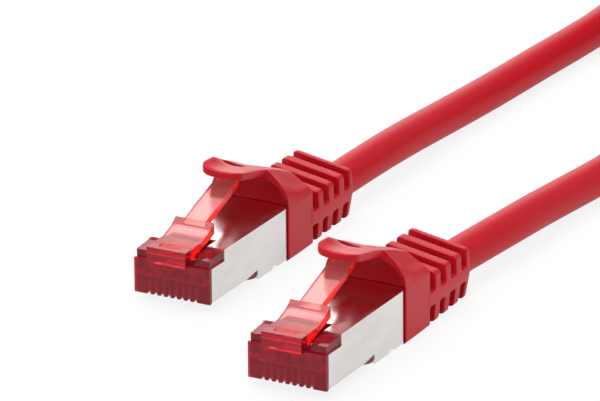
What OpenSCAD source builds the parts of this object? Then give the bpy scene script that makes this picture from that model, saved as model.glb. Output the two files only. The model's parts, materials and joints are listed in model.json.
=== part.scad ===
// Shielded ethernet patch cable: two identical eight-way modular plugs, each in a soft boot
// whose hooked guard presses the plug's latch, joined by one round cord with a stored coil.
// Millimetres. +Z is up and the plugs point towards -Y. The cable lies on the surface z = 0.
// Each plug is drawn in its own frame: x = 0 on its middle plane, y = 0 on the face of its
// nose, z = 0 under the nose. at_end() then sets it in its place on the surface.

/* [Plug housing] */
// Width across the metal shield
plug_width = 11.7; // [11.5:0.05:11.9]
// Height from the underside of the nose to the top of the shield
plug_height = 6.6; // [6.5:0.05:6.9]
// Height of the nose face below the shoulders
nose_height = 4.95; // [4.85:0.05:5.05]
// How far the shoulders stand back from the nose face
shoulder_setback = 0.4; // [0.2:0.1:0.8]
// Length of the clear housing
housing_length = 17; // [16.5:0.5:18.5]
// Start of the deeper belly behind the contacts
belly_start = 10.2; // [9.8:0.1:10.8]
// Length of the ramp down to the belly
belly_ramp = 2.2; // [1.8:0.1:2.8]
// How far the belly hangs below the nose
belly_drop = 0.55; // [0.4:0.05:0.7]

/* [Contacts and wires] */
// Number of contacts and wires
way_count = 8; // [6:1:8]
// Distance between neighbouring contacts
contact_pitch = 1.016; // [1:0.004:1.04]
// Thickness of a contact blade
contact_thickness = 0.3; // [0.25:0.05:0.35]
// Length of a contact blade along the plug
contact_length = 5; // [4.6:0.1:5.4]
// Setback of the blades behind the nose face
contact_setback = 0.9; // [0.6:0.1:1.2]
// Height of the blades' working edge above the underside of the nose
contact_edge = 0.55; // [0.5:0.05:0.7]
// Depth of the contact slots
slot_depth = 2; // [1.6:0.05:2.05]
// Thickness of the thin web that closes the slots at the front
slot_web = 0.5; // [0.3:0.1:0.7]
// Height of the slots' open foot below the web
slot_foot = 0.5; // [0.3:0.05:0.5]
// How far a blade's tips bite into its wire
contact_bite = 0.2; // [0.1:0.05:0.3]
// Diameter of an insulated wire
wire_diameter = 0.96; // [0.9:0.02:0.98]
// Height of the lower row of wires
wire_row_low = 2.85; // [2.8:0.01:2.9]
// Height step between the two rows of wires
wire_row_step = 1; // [0.98:0.01:1.02]
// Length of the wire guide
guide_length = 6.5; // [6:0.1:7]
// Width of the wire guide
guide_width = 9.4; // [9.2:0.1:9.6]

/* [Latch] */
// Width of the latch across its locking ears
latch_width = 5.9; // [5.8:0.05:6]
// Width of the latch's grip arm
grip_width = 3.3; // [3.1:0.1:3.5]
// Thickness of the latch
latch_thickness = 0.9; // [0.8:0.05:1]
// Thickness of the grip arm where it leaves the locking ears
arm_root_thickness = 1.15; // [0.9:0.05:1.3]
// Distance of the ears' locking face from the nose face
latch_shoulder = 6.55; // [6.45:0.05:6.65]
// Height of the ears' locking edge
latch_ear_height = 9.1; // [8.9:0.05:9.2]
// Rise of the grip arm above the horizontal, in degrees
grip_slope = 17.4; // [16.5:0.1:18]
// Distance of the grip arm's tip from the nose face
grip_reach = 15.6; // [15.2:0.1:16]
// Radius of the latch's root, about which it bends
latch_root_radius = 0.78; // [0.7:0.02:0.8]

/* [Shield] */
// Thickness of the shield's sheet
sheet = 0.25; // [0.2:0.05:0.3]
// Front edge of the shield's cheeks behind the nose face
shield_front = 0.5; // [0.45:0.05:0.8]
// Front edge of the shield's roof behind the nose face
roof_front = 4.05; // [3.8:0.05:4.3]
// Rear edge of the shield, inside the boot
shield_rear = 22.9; // [22.5:0.1:23.2]
// Lower edge of the cheeks above the underside of the nose
cheek_clearance = 0.2; // [0.1:0.05:0.4]

/* [Boot] */
// Front edge of the boot behind the nose face
boot_front = 21.7; // [21.2:0.1:22]
// Width of the boot over the shield
boot_width = 12.2; // [12.1:0.05:12.5]
// Length of the boot's body from its front edge to the first slot
body_length = 7.3; // [7:0.1:7.6]
// Depth of the boot's body below the nose
body_bottom = 1.1; // [1.05:0.05:1.2]
// Number of slots across the tail
slot_count = 4; // [3:1:4]
// Width of a slot across the tail
slot_width = 1.5; // [1.3:0.1:1.6]
// Thickness of a rib between two slots
rib_thickness = 1.46; // [1.3:0.02:1.6]
// Width of the tail
tail_width = 8.2; // [8:0.1:8.6]
// Tilt of the tail's top as the soft boot lies, in degrees
tail_tilt = 10; // [0:1:12]
// Sideways lie of the soft tail off the plug's middle plane
tail_shift = 1.9; // [1.2:0.1:2.2]
// Depth of the tail below the nose
tail_bottom = 1.1; // [1.05:0.05:1.3]
// Height of the tail's middle above the underside of the nose
tail_top = 7.5; // [7.2:0.1:7.8]
// Height of the solid side band between the upper and lower slots
band_height = 2; // [1.6:0.1:2.4]

/* [Latch guard] */
// Width of the guard's pad
pad_width = 6.4; // [6:0.1:6.8]
// Width of the guard's arm where it joins the boot
arm_width = 5; // [4.6:0.1:5.4]
// Thickness of the guard
guard_thickness = 1.25; // [1.1:0.05:1.3]
// Distance of the pad's front edge from the nose face
pad_front = 13.4; // [13.1:0.1:13.7]
// Height of the pad's front edge
pad_height = 13.85; // [13.8:0.05:14.1]
// Length of the slot through the guard's arm
guard_slot_length = 3; // [2:0.2:3.4]
// Radius of the guard's root, about which it bends
guard_root_radius = 0.88; // [0.8:0.02:0.92]

/* [Cord] */
// Outer diameter of the cord
cord_diameter = 5.2; // [5:0.1:5.4]
// Wall of the cord's jacket
jacket_wall = 0.6; // [0.5:0.05:0.65]
// Diameter of the coil at the middle of its turns
coil_diameter = 52; // [52:0.5:54]
// Clear gap between neighbouring turns and layers of the coil
coil_gap = 0.5; // [0.45:0.05:0.8]
// Whole turns in the coil, besides the part turn that joins its ends
coil_turns = 3; // [3:1:4]
// Width of the strap that ties the coil
tie_width = 9; // [7:0.5:12]
// Thickness of the strap
tie_thickness = 0.7; // [0.6:0.1:1]

/* [Lay] */
// Distance from one plug to the other, across
ends_apart = 28.3; // [24:0.1:34]
// How far one plug lies ahead of the other
ends_stagger = 19.9; // [10:0.1:26]

/* [Hidden] */
TAGS = ["a", "b"];
WAYS = [1:way_count];
function end_nodes(t) = concat(
  [for (n = ["plug_housing", "latch_tab", "shield_shell", "wire_guide", "crimp_band", "braid_sleeve",
             "jacket_end", "boot", "latch_guard"]) str(n, "_", t)],
  [for (k = WAYS) str("contact_", k, "_", t)],
  [for (k = WAYS) str("wire_", k, "_", t)]);

// Working clearances
fit = 0.03;
root_gap = 0.08;
eps = 0.01;
fine = 48;

// Housing
half_width = plug_width / 2;
core_half = half_width - sheet - fit;
core_top = plug_height - sheet - fit;
lip_half = half_width - 0.05;
lip_length = shield_front - fit;
channel_half = latch_width / 2 + 0.25;
channel_length = latch_shoulder + 0.3;
roof_slot_length = latch_shoulder - roof_front + 0.1;
function way_x(k) = (k - (way_count + 1) / 2) * contact_pitch;
function way_z(k) = wire_row_low + (k % 2) * wire_row_step;
blade_slot = contact_thickness + 0.14;
foot_half = contact_pitch / 2 - 0.2;
stem_slot = contact_thickness + 2 * fit;

// Wire guide, a block in the housing with one hole for each wire
guide_front = 2.2;
guide_wall = 0.65;
guide_floor = wire_row_low - guide_wall;
guide_roof = wire_row_low + wire_row_step + guide_wall;
guide_rear = guide_front + guide_length;
wire_tip = guide_front - 0.5;

// Contact blades: a base in the slot, and a stem with two tips that bite into the wire
stem_front = contact_setback + 2.9;
stem_rear = contact_setback + contact_length - 0.5;
contact_rear = contact_setback + contact_length;

// Latch
root_y = 0.75;
root_z = 6.65;
root_top = root_z + latch_root_radius;
root_front = -1.55;
root_foot = nose_height + 0.25;
ear_depth = 1.6;
latch_tip_rise = (grip_reach - latch_shoulder) * tan(grip_slope);

// Shield
belly_floor = -belly_drop;
skirt = belly_floor - fit - sheet;
skirt_front = belly_start + belly_ramp + 0.9;

// Cord inside the plug and the boot
cord_radius = cord_diameter / 2;
bore_radius = cord_radius + 0.05;
jacket_bore = cord_radius - jacket_wall;
jacket_front = housing_length + 0.6;
cord_z = 2.7;
strip_depth = 1.2;
bend_start = 26.5;
bend_end = 33.5;
wire_ring = jacket_bore - wire_diameter / 2 - fit;
wire_spread_end = jacket_front - 1.4;

// Braid folded back over the jacket, and the band crimped round it
braid_wall = 0.35;
band_wall = 0.3;
braid_front = jacket_front + 0.5;
braid_length = 6.5;
band_front = jacket_front + 4.4;
band_length = 3.4;

// Boot
body_rear = boot_front + body_length;
slot_pitch = slot_width + rib_thickness;
last_rib_trim = 0.16;
tail_rear = body_rear + slot_count * slot_pitch - last_rib_trim;
pocket_gap = 0.06;
band_middle = 2.6;
band_fall = 0.14;
core_inset = 0.95;
guard_root = [23.6, plug_height + 3.37];
front_crown = guard_root[1] + guard_root_radius + 0.73;
rear_crown = 8.8;

// Both plugs stand on their boots, and the pair is centred on the origin
lift = max(tail_bottom, body_bottom);
flank = tail_shift + 0.15 + tail_width / 2 + 0.1;
end_middle = [(flank - boot_width / 2) / 2, (root_front + tail_rear) / 2, -lift];
end_place = [for (s = [-1, 1]) [s * ends_apart / 2, -s * ends_stagger / 2, 0] - end_middle];

// Guard
guard_waist = [20.5, 12.15];
guard_gap = 0.12;
pad_depth = 3.8;
pad_fall = 0.4;
pad_corner = 1.4;
pad_taper = 3.5;
guard_slot_radius = 0.9;

// Cord on the surface
surface_cut = cord_diameter * 0.1;
lie = cord_radius - surface_cut;
exit_x = tail_shift + 0.1;

// ---------------------------------------------------------------- helpers

module at_end(e) translate(end_place[e]) children();

// Extrudes a side profile of (y, z) points across the plug
module across(width, x = 0)
  translate([x - width / 2, 0, 0]) rotate([90, 0, 90]) linear_extrude(width) children();

// Extrudes a front profile of (x, z) points along the plug
module along(y0, length)
  translate([0, y0 + length, 0]) rotate([90, 0, 0]) linear_extrude(length) children();

module block(lo, hi) translate(lo) cube(hi - lo);

// Closes half an outline of (x, y) points with its mirror image
function mirrored(half) = concat(half, [for (i = [len(half) - 1:-1:0]) [-half[i][0], half[i][1]]]);

module rod_x(at, radius, width)
  translate([-width / 2, at[0], at[1]]) rotate([0, 90, 0]) cylinder(r = radius, h = width, $fn = fine);

// One closed tube swept along a path, with a ring of points round each path point
function unit(v) = v / norm(v);
function tangent(path, i) = let (n = len(path) - 1)
  i == 0 ? unit(path[1] - path[0]) : i == n ? unit(path[n] - path[n - 1])
  : unit(unit(path[i] - path[i - 1]) + unit(path[i + 1] - path[i]));
function ring(path, i, radius, sides) = let (
    t = tangent(path, i),
    u = unit(cross([0, 0, 1], t)),
    v = cross(t, u))
  [for (k = [0:sides - 1]) path[i] + radius * (cos(360 * k / sides) * u + sin(360 * k / sides) * v)];
module tube(path, radius, sides) {
  n = len(path);
  points = [for (i = [0:n - 1]) each ring(path, i, radius, sides)];
  walls = [for (i = [0:n - 2]) for (k = [0:sides - 1]) let (
      a = i * sides + k, b = i * sides + (k + 1) % sides, c = a + sides, d = b + sides)
    each [[a, c, b], [b, c, d]]];
  caps = [[for (k = [0:sides - 1]) k], [for (k = [sides - 1:-1:0]) (n - 1) * sides + k]];
  polyhedron(points = points, faces = concat(walls, caps));
}

// The cord's line inside the plug and the boot: straight, a gentle side step, straight again
function eased(t) = t * t * (3 - 2 * t);
bend_steps = 5;
function inner_line(extra) = concat(
  [[0, jacket_front - extra, cord_z]],
  [for (i = [0:bend_steps]) let (t = i / bend_steps)
    [exit_x * eased(t), bend_start + t * (bend_end - bend_start), cord_z]],
  [[exit_x, tail_rear + extra, cord_z]]);

// ---------------------------------------------------------------- plug

module housing_side()
  polygon([[shoulder_setback, nose_height - eps], [lip_length - eps, 0], [belly_start, 0],
           [belly_start + belly_ramp, belly_floor], [housing_length, belly_floor],
           [housing_length, core_top], [roof_front, core_top], [shoulder_setback, core_top - 0.25]]);

module latch_root_side()
  polygon([[root_front, root_foot], [0.05, root_foot], [0.05, nose_height - 0.05],
           [root_y + 0.6, nose_height - 0.05], [root_y + 0.6, root_foot], [root_y - 0.1, root_z - 0.9],
           [root_y - 0.1, root_top], [root_front + 0.1, root_top - 0.03], [root_front, root_top - 0.15]]);

module plug_housing() color([0.6, 0.08, 0.16, 0.6]) difference() {
  union() {
    across(2 * core_half) housing_side();
    block([-lip_half, 0, 0], [lip_half, lip_length, nose_height]);
    across(latch_width) latch_root_side();
  }
  // Channel in which the latch moves, between the shoulders
  block([-channel_half, root_y + 0.61, nose_height], [channel_half, channel_length, plug_height]);
  for (s = [-1, 1]) scale([s, 1, 1])
    block([latch_width / 2, -eps, nose_height], [channel_half, root_y + 0.62, plug_height]);
  block([-channel_half, -eps, plug_height - sheet], [-latch_width / 2, root_y + 0.62, plug_height]);
  // Room behind the socket for the plate of the pressed latch
  block([-channel_half, root_y + 0.35, root_foot + 0.3], [channel_half, root_y + 0.62, plug_height]);
  // Socket of the latch's root and the pocket in the root's top
  rod_x([root_y, root_z], latch_root_radius + root_gap, latch_width + 1);
  block([-1.7, root_front + 0.95, root_top - 0.3], [1.7, root_y, root_top + 1]);
  // Pocket of the wire guide, open to the wide rear of the housing
  block([-guide_width / 2 - fit, wire_tip - 0.2, guide_floor - fit],
        [guide_width / 2 + fit, guide_rear + eps, guide_roof + fit]);
  block([-core_half + 0.5, guide_rear, 0.9], [core_half - 0.5, belly_start + belly_ramp, 5.6]);
  block([-core_half + 0.5, belly_start + belly_ramp - eps, belly_floor + 0.5],
        [core_half - 0.5, housing_length + 1, core_top - 0.5]);
  // Contact slots behind the web, with a flared foot between the dividers' rounded ends, and the
  // narrow slots that hold the stems
  for (k = WAYS) {
    block([way_x(k) - blade_slot / 2, slot_web, -1],
          [way_x(k) + blade_slot / 2, contact_rear + 0.1, slot_depth]);
    translate([way_x(k), 0, 0]) along(-1, contact_rear + 1.1)
      polygon(mirrored([[foot_half, -eps], [foot_half - 0.12, 0.17], [0.12, slot_foot]]));
    block([way_x(k) - stem_slot / 2, stem_front - fit, slot_depth - eps],
          [way_x(k) + stem_slot / 2, stem_rear + fit, guide_floor]);
  }
}

module latch_tab() color([0.95, 0.35, 0.4, 0.6]) {
  rod_x([root_y, root_z], latch_root_radius, latch_width);
  // Plate from the root to the locking ears
  across(latch_width)
    polygon([[root_y, root_top], [3.05, root_top + 0.1], [5.15, latch_ear_height - 0.84],
             [latch_shoulder, latch_ear_height], [latch_shoulder, latch_ear_height - ear_depth],
             [5.15, latch_ear_height - 2], [3.05, root_top + 0.1 - latch_thickness],
             [root_y, root_z - latch_root_radius]]);
  // Grip arm that the guard presses
  across(grip_width)
    polygon([[5.2, latch_ear_height - 0.84], [latch_shoulder, latch_ear_height],
             [grip_reach, latch_ear_height + latch_tip_rise],
             [grip_reach + 0.3, latch_ear_height + latch_tip_rise - 0.25],
             [grip_reach + 0.3, latch_ear_height + latch_tip_rise - 0.6],
             [grip_reach, latch_ear_height + latch_tip_rise - latch_thickness],
             [latch_shoulder, latch_ear_height - arm_root_thickness], [5.2, latch_ear_height - 1.8]]);
}

module shield_side(inset)
  polygon([[shield_front - eps, cheek_clearance - eps], [belly_start, cheek_clearance - eps],
           [skirt_front - 0.1, 0.55], [skirt_front, skirt + inset], [17.3, skirt + inset],
           [17.5, skirt + 0.35], [18.8, skirt + 0.35], [18.9, skirt + inset],
           [shield_rear, skirt + inset], [shield_rear, plug_height - inset],
           [roof_front, plug_height - inset], [roof_front, nose_height + 0.01],
           [shield_front - eps, nose_height + 0.01]]);

module shield_shell() color([0.78, 0.76, 0.74]) difference() {
  across(plug_width) shield_side(0);
  // Hollow of the folded sheet: open below the nose, closed below the belly
  across(plug_width - 2 * sheet)
    polygon([[shield_front - 1, -2], [skirt_front - eps, -2], [skirt_front - eps, skirt + sheet],
             [shield_rear + 1, skirt + sheet], [shield_rear + 1, plug_height - sheet],
             [shield_front - 1, plug_height - sheet]]);
  // Relief slot in the roof for the latch
  block([-channel_half, roof_front - 1, plug_height - 1],
        [channel_half, roof_front + roof_slot_length, plug_height + 1]);
}

module contact(k) color([0.85, 0.65, 0.25])
  across(contact_thickness, way_x(k)) difference() {
    tip = way_z(k) - wire_diameter / 2 + contact_bite;
    polygon([[contact_setback, contact_edge], [contact_rear, contact_edge], [contact_rear, slot_depth - fit],
             [stem_rear, slot_depth - fit], [stem_rear, tip - 0.45], [stem_rear - 0.35, tip],
             [(stem_front + stem_rear) / 2, tip - 0.45], [stem_front + 0.35, tip],
             [stem_front, tip - 0.45], [stem_front, slot_depth - fit], [contact_setback, slot_depth - fit]]);
    // Rounded working corner
    translate([contact_setback, contact_edge]) difference() {
      square(0.8, center = true);
      translate([0.4, 0.4]) circle(r = 0.4, $fn = 24);
    }
  }

module wire_guide() color([0.85, 0.3, 0.35, 0.6]) difference() {
  block([-guide_width / 2, guide_front, guide_floor], [guide_width / 2, guide_rear, guide_roof]);
  for (k = WAYS) {
    translate([way_x(k), guide_rear + 1, way_z(k)]) rotate([90, 0, 0])
      cylinder(d = wire_diameter + 2 * 0.02, h = guide_length + 2, $fn = 24);
    block([way_x(k) - stem_slot / 2, stem_front - fit, guide_floor - 1],
          [way_x(k) + stem_slot / 2, stem_rear + fit, way_z(k)]);
  }
}

// Wire colours of the four pairs, in the order of the contacts
WIRE_COLOURS = [[1, 0.75, 0.5], [0.9, 0.45, 0.1], [0.75, 0.9, 0.75], [0.15, 0.35, 0.75],
                [0.7, 0.8, 0.95], [0.15, 0.6, 0.25], [0.8, 0.7, 0.6], [0.4, 0.25, 0.15]];

// Where wire k meets the ring inside the jacket: upper row above, lower row below
function ring_angle(k) = (k % 2 == 1 ? 1 : -1)
  * (180 - (180 / ceil(way_count / 2)) * (floor((k - 1) / 2) + 0.5));

module wire(k) color(WIRE_COLOURS[k - 1]) {
  start = [way_x(k), wire_tip, way_z(k)];
  guided = [way_x(k), guide_rear + 0.8, way_z(k)];
  gathered = [wire_ring * cos(ring_angle(k)), wire_spread_end, cord_z + wire_ring * sin(ring_angle(k))];
  seated = gathered + [0, jacket_front + strip_depth - 0.1 - wire_spread_end, 0];
  tube([start, guided, gathered, seated], wire_diameter / 2, 12);
}

module jacket_end() color([0.75, 0.15, 0.2]) difference() {
  tube(inner_line(0), cord_radius, 20);
  // Stripped mouth that the wires come out of
  translate([0, jacket_front + strip_depth, cord_z]) rotate([90, 0, 0])
    cylinder(r = jacket_bore, h = strip_depth + 1, $fn = fine);
}

module sleeve(y0, length, inner, wall)
  translate([0, y0 + length, cord_z]) rotate([90, 0, 0]) difference() {
    cylinder(r = inner + wall, h = length, $fn = fine);
    translate([0, 0, -1]) cylinder(r = inner, h = length + 2, $fn = fine);
  }

module braid_sleeve() color([0.7, 0.7, 0.68])
  sleeve(braid_front, braid_length, cord_radius + 0.01, braid_wall);

module crimp_band() color([0.78, 0.76, 0.74]) {
  sleeve(band_front, band_length, cord_radius + 0.01 + braid_wall + 0.01, band_wall);
  // Strap that ties the band to the floor of the shield
  top = cord_z - cord_radius - braid_wall - 0.12;
  difference() {
    block([-1.5, band_front - 3, skirt + sheet], [1.5, band_front + band_length, top]);
    block([-2, band_front - 4, skirt + 2 * sheet], [2, band_front, top + 1]);
  }
}

// ---------------------------------------------------------------- boot

// Profile of the body at its front: cheeks, then shoulders up to the root of the guard
module body_front_face()
  polygon(mirrored([[boot_width / 2, -body_bottom], [boot_width / 2, plug_height],
                    [boot_width / 2 - 0.9, plug_height + 2.4], [boot_width / 2 - 2, plug_height + 3.4],
                    [arm_width / 2 + 0.12, front_crown]]));

module body_rear_face() {
  near = tail_shift + tail_width / 2 - 0.25;
  far = -tail_width / 2 - 0.5;
  polygon([[near, -body_bottom], [near, plug_height - 0.2], [arm_width / 2 - 0.4, rear_crown],
           [-arm_width / 2 - 0.2, rear_crown + 0.1], [far, plug_height], [far, -body_bottom]]);
}

// Section of the tail; its top tilts as the soft moulding lies
module tail_section(middle, crown, inset = 0, floor_inset = 0) {
  half = tail_width / 2 - inset;
  fall = half * tan(tail_tilt);
  bottom = -tail_bottom + floor_inset;
  round = 1.3 - inset / 2;
  translate([middle, 0]) offset(r = round, $fn = 24) offset(delta = -round)
    polygon([[half - 0.35, bottom], [half + 0.1, band_middle], [half, crown - inset - fall],
             [-half, crown - inset + fall], [-half - 0.1, band_middle], [-half + 0.35, bottom]]);
}

module tail_loft(inset = 0, floor_inset = 0, extra = 0) hull() {
  along(body_rear - 0.4, 0.02) tail_section(tail_shift - 0.15, tail_top, inset, floor_inset);
  along(tail_rear - 0.02 + extra, 0.02) tail_section(tail_shift + 0.15, tail_top - 0.3, inset, floor_inset);
}

// Slots across the tail, above and below the solid band along its sides
module tail_slots() for (k = [0:slot_count - 1]) {
  y0 = body_rear + k * slot_pitch;
  middle = band_middle - k * band_fall;
  block([-12, y0, middle + band_height / 2], [16, y0 + slot_width, 14]);
  block([-12, y0, -4], [16, y0 + slot_width, middle - band_height / 2]);
}

module boot() color([0.72, 0.2, 0.24]) difference() {
  union() {
    hull() {
      along(boot_front, 0.02) body_front_face();
      along(body_rear - 0.02, 0.02) body_rear_face();
    }
    tail_loft();
  }
  difference() {
    tail_slots();
    tail_loft(core_inset, 0.55, 1);
  }
  // Hollow under the guard's arm
  rod_x([boot_front - 2, guard_root[1] - 1.65], 2.6, 20);
  // Socket of the guard's root, open to the front
  rod_x(guard_root, guard_root_radius + root_gap, arm_width + 2 * guard_gap);
  block([-arm_width / 2 - guard_gap, boot_front - 1, guard_root[1] - 1.1],
        [arm_width / 2 + guard_gap, guard_root[0], front_crown + 1]);
  // Pocket for the shield, room for the crimp band, and the cord's bore
  block([-half_width - pocket_gap, boot_front - 1, skirt - pocket_gap],
        [half_width + pocket_gap, shield_rear + 0.1, plug_height + pocket_gap]);
  translate([0, band_front + band_length + 0.4, cord_z]) rotate([90, 0, 0])
    cylinder(r = cord_radius + braid_wall + band_wall + 0.15, h = band_length + 1, $fn = fine);
  translate([0, braid_front + braid_length + 0.2, cord_z]) rotate([90, 0, 0])
    cylinder(r = cord_radius + braid_wall + 0.1, h = braid_length, $fn = fine);
  block([-1.6, shield_rear, skirt], [1.6, band_front + band_length + 0.2, cord_z]);
  tube(inner_line(1), bore_radius, 20);
}

module guard_side()
  polygon([[pad_front + 0.25, pad_height], [pad_front + pad_depth, pad_height - pad_fall],
           guard_waist, [guard_root[0], guard_root[1] + guard_root_radius],
           [guard_root[0], guard_root[1] - guard_root_radius + 0.15],
           guard_waist - [0.1, guard_thickness],
           [pad_front + pad_depth - 0.2, pad_height - pad_fall - guard_thickness],
           [pad_front + 0.3, pad_height - guard_thickness], [pad_front, pad_height - guard_thickness + 0.35],
           [pad_front, pad_height - 0.3]]);

// Plan of the guard: a rounded pad that narrows to the arm, with a slot behind the pad
module guard_plan() difference() {
  union() {
    for (s = [-1, 1]) translate([s * (pad_width / 2 - pad_corner), pad_front + pad_corner])
      circle(r = pad_corner, $fn = fine);
    translate([-pad_width / 2 + pad_corner, pad_front]) square([pad_width - 2 * pad_corner, pad_depth]);
    polygon(mirrored([[pad_width / 2, pad_front + pad_corner], [pad_width / 2, pad_front + pad_depth],
                      [arm_width / 2, pad_front + pad_depth + pad_taper], [arm_width / 2, guard_root[0]]]));
  }
  slot_middle = pad_front + pad_depth + guard_slot_radius;
  for (s = [-1, 1]) translate([s * (guard_slot_length / 2 - guard_slot_radius), slot_middle])
    circle(r = guard_slot_radius, $fn = fine);
  translate([guard_slot_radius - guard_slot_length / 2, pad_front + pad_depth])
    square([guard_slot_length - 2 * guard_slot_radius, 2 * guard_slot_radius]);
}

module latch_guard() color([0.85, 0.35, 0.38]) {
  intersection() {
    across(pad_width + 1) guard_side();
    translate([0, 0, 5]) linear_extrude(12) guard_plan();
  }
  rod_x(guard_root, guard_root_radius, arm_width);
}

// ---------------------------------------------------------------- cord

// The coil lies in four layers. It winds clockwise, inwards and outwards by turns, and climbs a
// layer in each half turn where its spiral reverses.
coil_centre = [10.9, 143.3];
coil_entry = 205;
coil_leave = -25;
coil_layers = 4;
coil_pitch = cord_diameter + coil_gap;
coil_sweep = coil_turns * 360 + coil_entry - coil_leave;
layer_sweep = coil_sweep / coil_layers;
layer_depth = coil_pitch * layer_sweep / 360;
coil_outer = (coil_diameter + layer_depth) / 2;
loop_rings = 24;
half_turn = 180;
coil_rings = round(loop_rings * coil_sweep / 360);
function inwards(a) = 1 - abs((a / layer_sweep) % 2 - 1);
function sum(v) = v * [for (x = v) 1];
function layers_climbed(a) = sum([for (k = [1:coil_layers - 1])
  eased(min(1, max(0, (a - k * layer_sweep) / half_turn + 0.5)))]);
function coil_point(a) = let (
    r = coil_outer - layer_depth * inwards(a),
    b = coil_entry - a)
  [coil_centre[0] + r * cos(b), coil_centre[1] + r * sin(b), lie + coil_pitch * layers_climbed(a)];
coil_path = [for (i = [0:coil_rings]) coil_point(coil_sweep * i / coil_rings)];

// The tube of the coil runs straight for one diameter at each end
function heading(b) = [sin(b), -cos(b), 0];
lead_in = cord_diameter * heading(coil_entry);
lead_out = cord_diameter * heading(coil_leave);
coil_start = coil_path[0] - lead_in;
coil_end = coil_path[coil_rings] + lead_out;
coil_tube = concat([coil_start], coil_path, [coil_end]);

// Routes of the free runs, chosen by hand, from each boot to the coil
run_a_points = [[-12, 47, 3.6], [-12, 57, 3], [-12, 67, 2.4], [-11.5, 80, lie], [-10.8, 95, lie],
                [-10, 111, lie]];
run_b_points = [[17, 27, 3.6], [17.3, 37, 3], [17.6, 47, 2.4], [18.1, 56, lie], [18.5, 64, lie],
                [19.2, 72, lie], [20.4, 80.5, 3.4], [22.1, 89, 6.7], [24.4, 98, 11.3],
                [27.2, 107, 15.6], [30.2, 115.5, 18.5]];
function run_path(e, points, joint, lead) = let (p = end_place[e] + [exit_x, tail_rear, cord_z])
  concat([p, p + [0, cord_diameter, 0]], points, [joint + lead, joint]);
run_a_path = run_path(0, run_a_points, coil_start, -lead_in);
run_b_path = run_path(1, run_b_points, coil_end, lead_out);

// What lies on the surface is cut flat there
surface_reach = 300;
module laid() difference() {
  children();
  block([-surface_reach, -surface_reach, -cord_diameter], [surface_reach, surface_reach, 0]);
}

// Smallest clear gap between the coil's turns, measured between points a loop or more apart
function gaps_from(i) = [for (j = [i + 14:coil_rings]) norm(coil_path[i] - coil_path[j])];
least_gap = min([for (i = [0:coil_rings - 15]) min(gaps_from(i))]) - cord_diameter;
function path_length(p) = sum([for (i = [1:len(p) - 1]) norm(p[i] - p[i - 1])]);
echo(least_gap_between_turns = least_gap);
echo(coil_length = path_length(coil_tube), run_a_length = path_length(run_a_path),
     run_b_length = path_length(run_b_path), inner_length = path_length(inner_line(0)));

module cord_run(path) color([0.75, 0.16, 0.22]) laid() tube(path, cord_radius, 10);
module cord_coil() color([0.75, 0.16, 0.22]) laid() tube(coil_tube, cord_radius, 6);

// Strap that ties the coil, a closed band round the bundle of turns that pass under it
tie_angle = 45;
tie_slack = 0.5;
tied_turns = [for (k = [0:coil_layers - 1])
  coil_outer - layer_depth * inwards(coil_entry - tie_angle + 360 * k)];
module bundle_outline(wall) {
  near = min(tied_turns) - cord_radius - tie_slack;
  far = max(tied_turns) + cord_radius + fit;
  top = lie + (coil_layers - 1) * coil_pitch + cord_radius + fit;
  offset(r = cord_radius + wall, $fn = 24) offset(delta = -cord_radius)
    translate([near, tie_thickness]) square([far - near, top - tie_thickness]);
}
module coil_tie() color([0.12, 0.12, 0.13]) translate(concat(coil_centre, [0]))
  rotate([0, 0, tie_angle]) translate([0, tie_width / 2, 0]) rotate([90, 0, 0])
  linear_extrude(tie_width) difference() {
    bundle_outline(tie_thickness);
    bundle_outline(0);
  }

// ---------------------------------------------------------------- assembly

for (e = [0, 1]) {
  t = TAGS[e];
  at_end(e) plug_housing();
  at_end(e) latch_tab();
  at_end(e) shield_shell();
  at_end(e) wire_guide();
  at_end(e) crimp_band();
  at_end(e) braid_sleeve();
  at_end(e) jacket_end();
  at_end(e) boot();
  at_end(e) latch_guard();
  for (k = WAYS) {
    at_end(e) contact(k);
    at_end(e) wire(k);
  }
}
cord_run(run_a_path);  // cord_run_a
cord_coil();
coil_tie();
cord_run(run_b_path);  // cord_run_b
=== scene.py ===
"""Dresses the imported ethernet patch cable: soft boots, clear plugs, bright shields and the cord.

Everything is in metres in the row frame, with +Z up. Sizes of the object's own pieces are
written in millimetres in the plug's frame: x = 0 on the plug's middle plane, y = 0 on the
face of its nose, z = 0 under the nose, with +y towards the cord.
"""

import json
import logging
import math
from collections.abc import Sequence
from dataclasses import dataclass, field
from enum import Enum

import bmesh
import bpy
from mathutils import Matrix, Vector

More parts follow.
